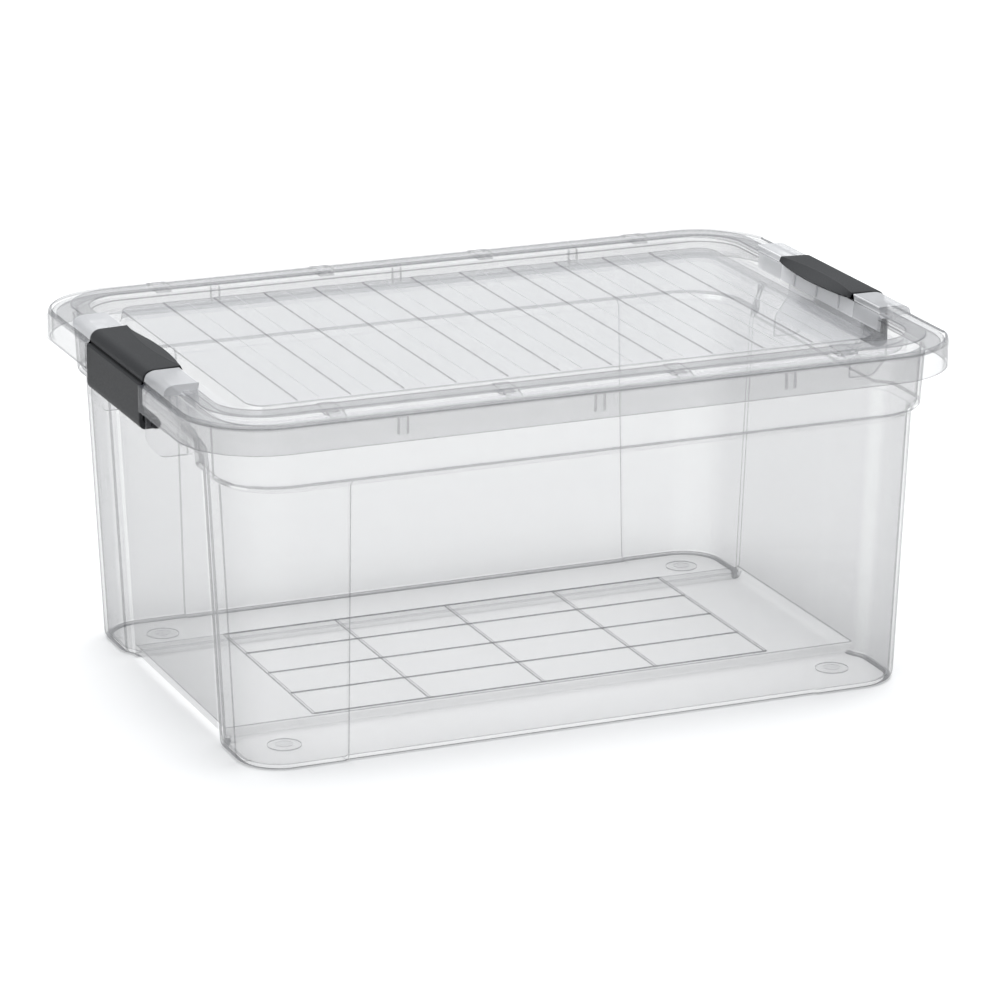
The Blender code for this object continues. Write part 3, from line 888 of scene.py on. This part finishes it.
def shrunk(outline, depth):
    """The outline moved inwards by depth, point by point."""
    count = len(outline)
    area = sum(
        outline[i][0] * outline[(i + 1) % count][1] - outline[(i + 1) % count][0] * outline[i][1]
        for i in range(count)
    )
    turn = 1.0 if area > 0.0 else -1.0
    out = []
    for i, (x, z) in enumerate(outline):
        before, after = outline[i - 1], outline[(i + 1) % count]
        along = Vector((after[0] - before[0], after[1] - before[1])).normalized()
        out.append((x - turn * along.y * depth, z + turn * along.x * depth))
    return out


def build_latch(name, side, material):
    """One latch: sections along its length, drawn in a little at each end, and two trunnions."""
    bm = bmesh.new()
    inner = LATCH_HALF - LATCH_EDGE
    stations = [(-LATCH_HALF, LATCH_EDGE), (-LATCH_HALF + 0.12, 0.2), (-LATCH_HALF + LATCH_EDGE, 0.0)]
    stations += [(inner * step / LATCH_STEPS, 0.0) for step in range(1 - LATCH_STEPS, LATCH_STEPS)]
    stations += [(-y, depth) for y, depth in stations[2::-1]]
    rings = []
    for y, depth in stations:
        section = latch_section(y)
        if depth:
            section = shrunk(section, depth)
        rings.append([(side * x, y, z) for x, z in section])
    loft(bm, rings, [PLAIN] * len(rings))
    latch = make_object(name + "_shell", bm, [material])
    bm = bmesh.new()
    for end in (-1, 1):
        ends = sorted((end * (LATCH_HALF - 1.0), end * TRUNNION_OUT))
        rod_y(bm, TRUNNION_R, side * PIVOT_X, PIVOT_Z, ends, tint=PLAIN)
    combine(latch, make_object("trunnions", bm, [material]), "UNION")
    shade(latch, LATCH_SHARP_ANGLE)
    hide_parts(name)
    return latch


# ---- stage ------------------------------------------------------------------------------------
def build_stage():
    bm = bmesh.new()
    bmesh.ops.create_grid(bm, x_segments=4, y_segments=4, size=FLOOR_HALF)
    material, nodes, links = new_material("pale_floor")
    body = nodes.new("ShaderNodeBsdfDiffuse")
    body.inputs["Color"].default_value = (FLOOR_TONE, FLOOR_TONE, FLOOR_TONE, 1.0)
    output = nodes.new("ShaderNodeOutputMaterial")
    links.new(body.outputs["BSDF"], output.inputs["Surface"])
    floor = make_object("floor", bm, [material])


def build_lamp():
    light = bpy.data.lights.new("overhead", "AREA")
    light.shape = "RECTANGLE"
    light.size, light.size_y = LAMP_SIDE, LAMP_SIDE
    light.energy = LAMP_WATTS
    obj = bpy.data.objects.new("overhead", light)
    bpy.context.scene.collection.objects.link(obj)
    obj.location = LAMP_PLACE
    direction = Vector(LAMP_AIM) - Vector(LAMP_PLACE)
    obj.rotation_euler = direction.to_track_quat("-Z", "Y").to_euler()


def build_sky():
    """An even sky, a little brighter where it is seen than where it lights the bin."""
    world = bpy.data.worlds.new("studio")
    bpy.context.scene.world = world
    world.use_nodes = True
    nodes, links = world.node_tree.nodes, world.node_tree.links
    nodes.clear()
    seen = nodes.new("ShaderNodeBackground")
    seen.inputs["Color"].default_value = (1.0, 1.0, 1.0, 1.0)
    seen.inputs["Strength"].default_value = SKY_SEEN
    lit = nodes.new("ShaderNodeBackground")
    lit.inputs["Color"].default_value = (*SKY_COLOUR, 1.0)
    lit.inputs["Strength"].default_value = SKY_LIGHT
    path = nodes.new("ShaderNodeLightPath")
    mixed = nodes.new("ShaderNodeMixShader")
    output = nodes.new("ShaderNodeOutputWorld")
    links.new(path.outputs["Is Camera Ray"], mixed.inputs["Fac"])
    links.new(lit.outputs["Background"], mixed.inputs[1])
    links.new(seen.outputs["Background"], mixed.inputs[2])
    links.new(mixed.outputs["Shader"], output.inputs["Surface"])


def build_camera():
    azimuth, elevation = math.radians(VIEW_AZIMUTH), math.radians(VIEW_ELEVATION)
    back = Vector(
        (
            math.sin(azimuth) * math.cos(elevation),
            -math.cos(azimuth) * math.cos(elevation),
            math.sin(elevation),
        )
    )
    right = Vector((math.cos(azimuth), math.sin(azimuth), 0.0))
    up = back.cross(right)
    camera = bpy.data.cameras.new("camera")
    camera.lens = LENS_MM
    camera.sensor_width = SENSOR_MM
    camera.clip_end = CLIP_END
    obj = bpy.data.objects.new("camera", camera)
    bpy.context.scene.collection.objects.link(obj)
    roll = Matrix.Rotation(math.radians(VIEW_ROLL), 3, "Z")
    turned = Matrix((right, up, back)).transposed() @ roll
    place = Vector(VIEW_TARGET) + VIEW_DISTANCE * back
    obj.matrix_world = Matrix.Translation(place) @ turned.to_4x4()
    bpy.context.scene.camera = obj


def main():
    scene = bpy.context.scene
    scene.view_settings.view_transform = "Standard"
    scene.cycles.transparent_max_bounces = CLEAR_LAYERS
    build_camera()
    build_sky()
    build_lamp()
    build_stage()
    clear = {name: clear_plastic(name, *look) for name, look in CLEAR_LOOKS.items()}
    tub_clear = [clear["clear_" + name] for name in TUB_SLOTS]
    lid_clear = [clear["clear_" + name] for name in LID_SLOTS]
    dark = dark_plastic("latch_satin", LATCH_COLOUR)
    for piece in build_tub(tub_clear):
        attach(piece, "tub")
    for piece in build_lid(lid_clear):
        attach(piece, "lid")
    for name, side in (("left_latch", -1), ("right_latch", 1)):
        latch = build_latch(name, side, dark)
        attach(latch, name)
    for name in CAST_NO_SHADOW:
        bpy.data.objects[name].visible_shadow = False


main()
